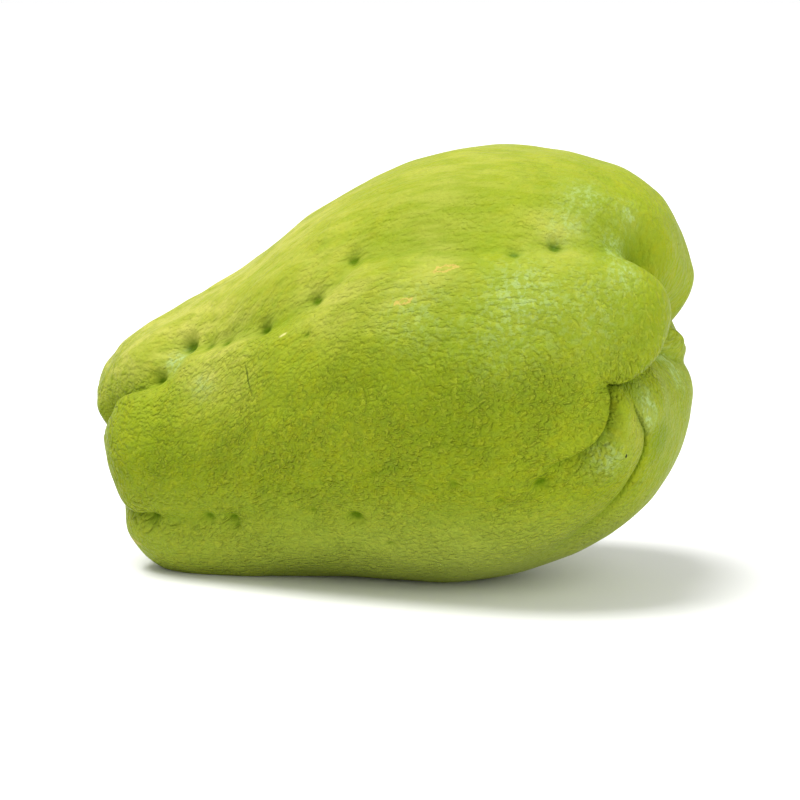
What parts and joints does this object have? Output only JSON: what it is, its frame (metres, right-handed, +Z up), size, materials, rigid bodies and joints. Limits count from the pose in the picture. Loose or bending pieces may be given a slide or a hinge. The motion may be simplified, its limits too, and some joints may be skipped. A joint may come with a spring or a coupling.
{
  "type": "chayote squash",
  "caption": "Pear-shaped green squash with rounded lobes, pitted furrows and a cleft blossom end, lying on its side; food prop.",
  "frame": {"origin": "on the surface the fruit rests on, under the middle of its bounding box", "axes": "+X along the fruit from the stem end to the blossom end, +Z up, +Y to the back"},
  "size_m": [0.1252, 0.0846, 0.0905],
  "materials": {
    "skin": "satin"
  },
  "bodies": {
    "root": {"chayote": "skin"}
  },
  "joints": []
}
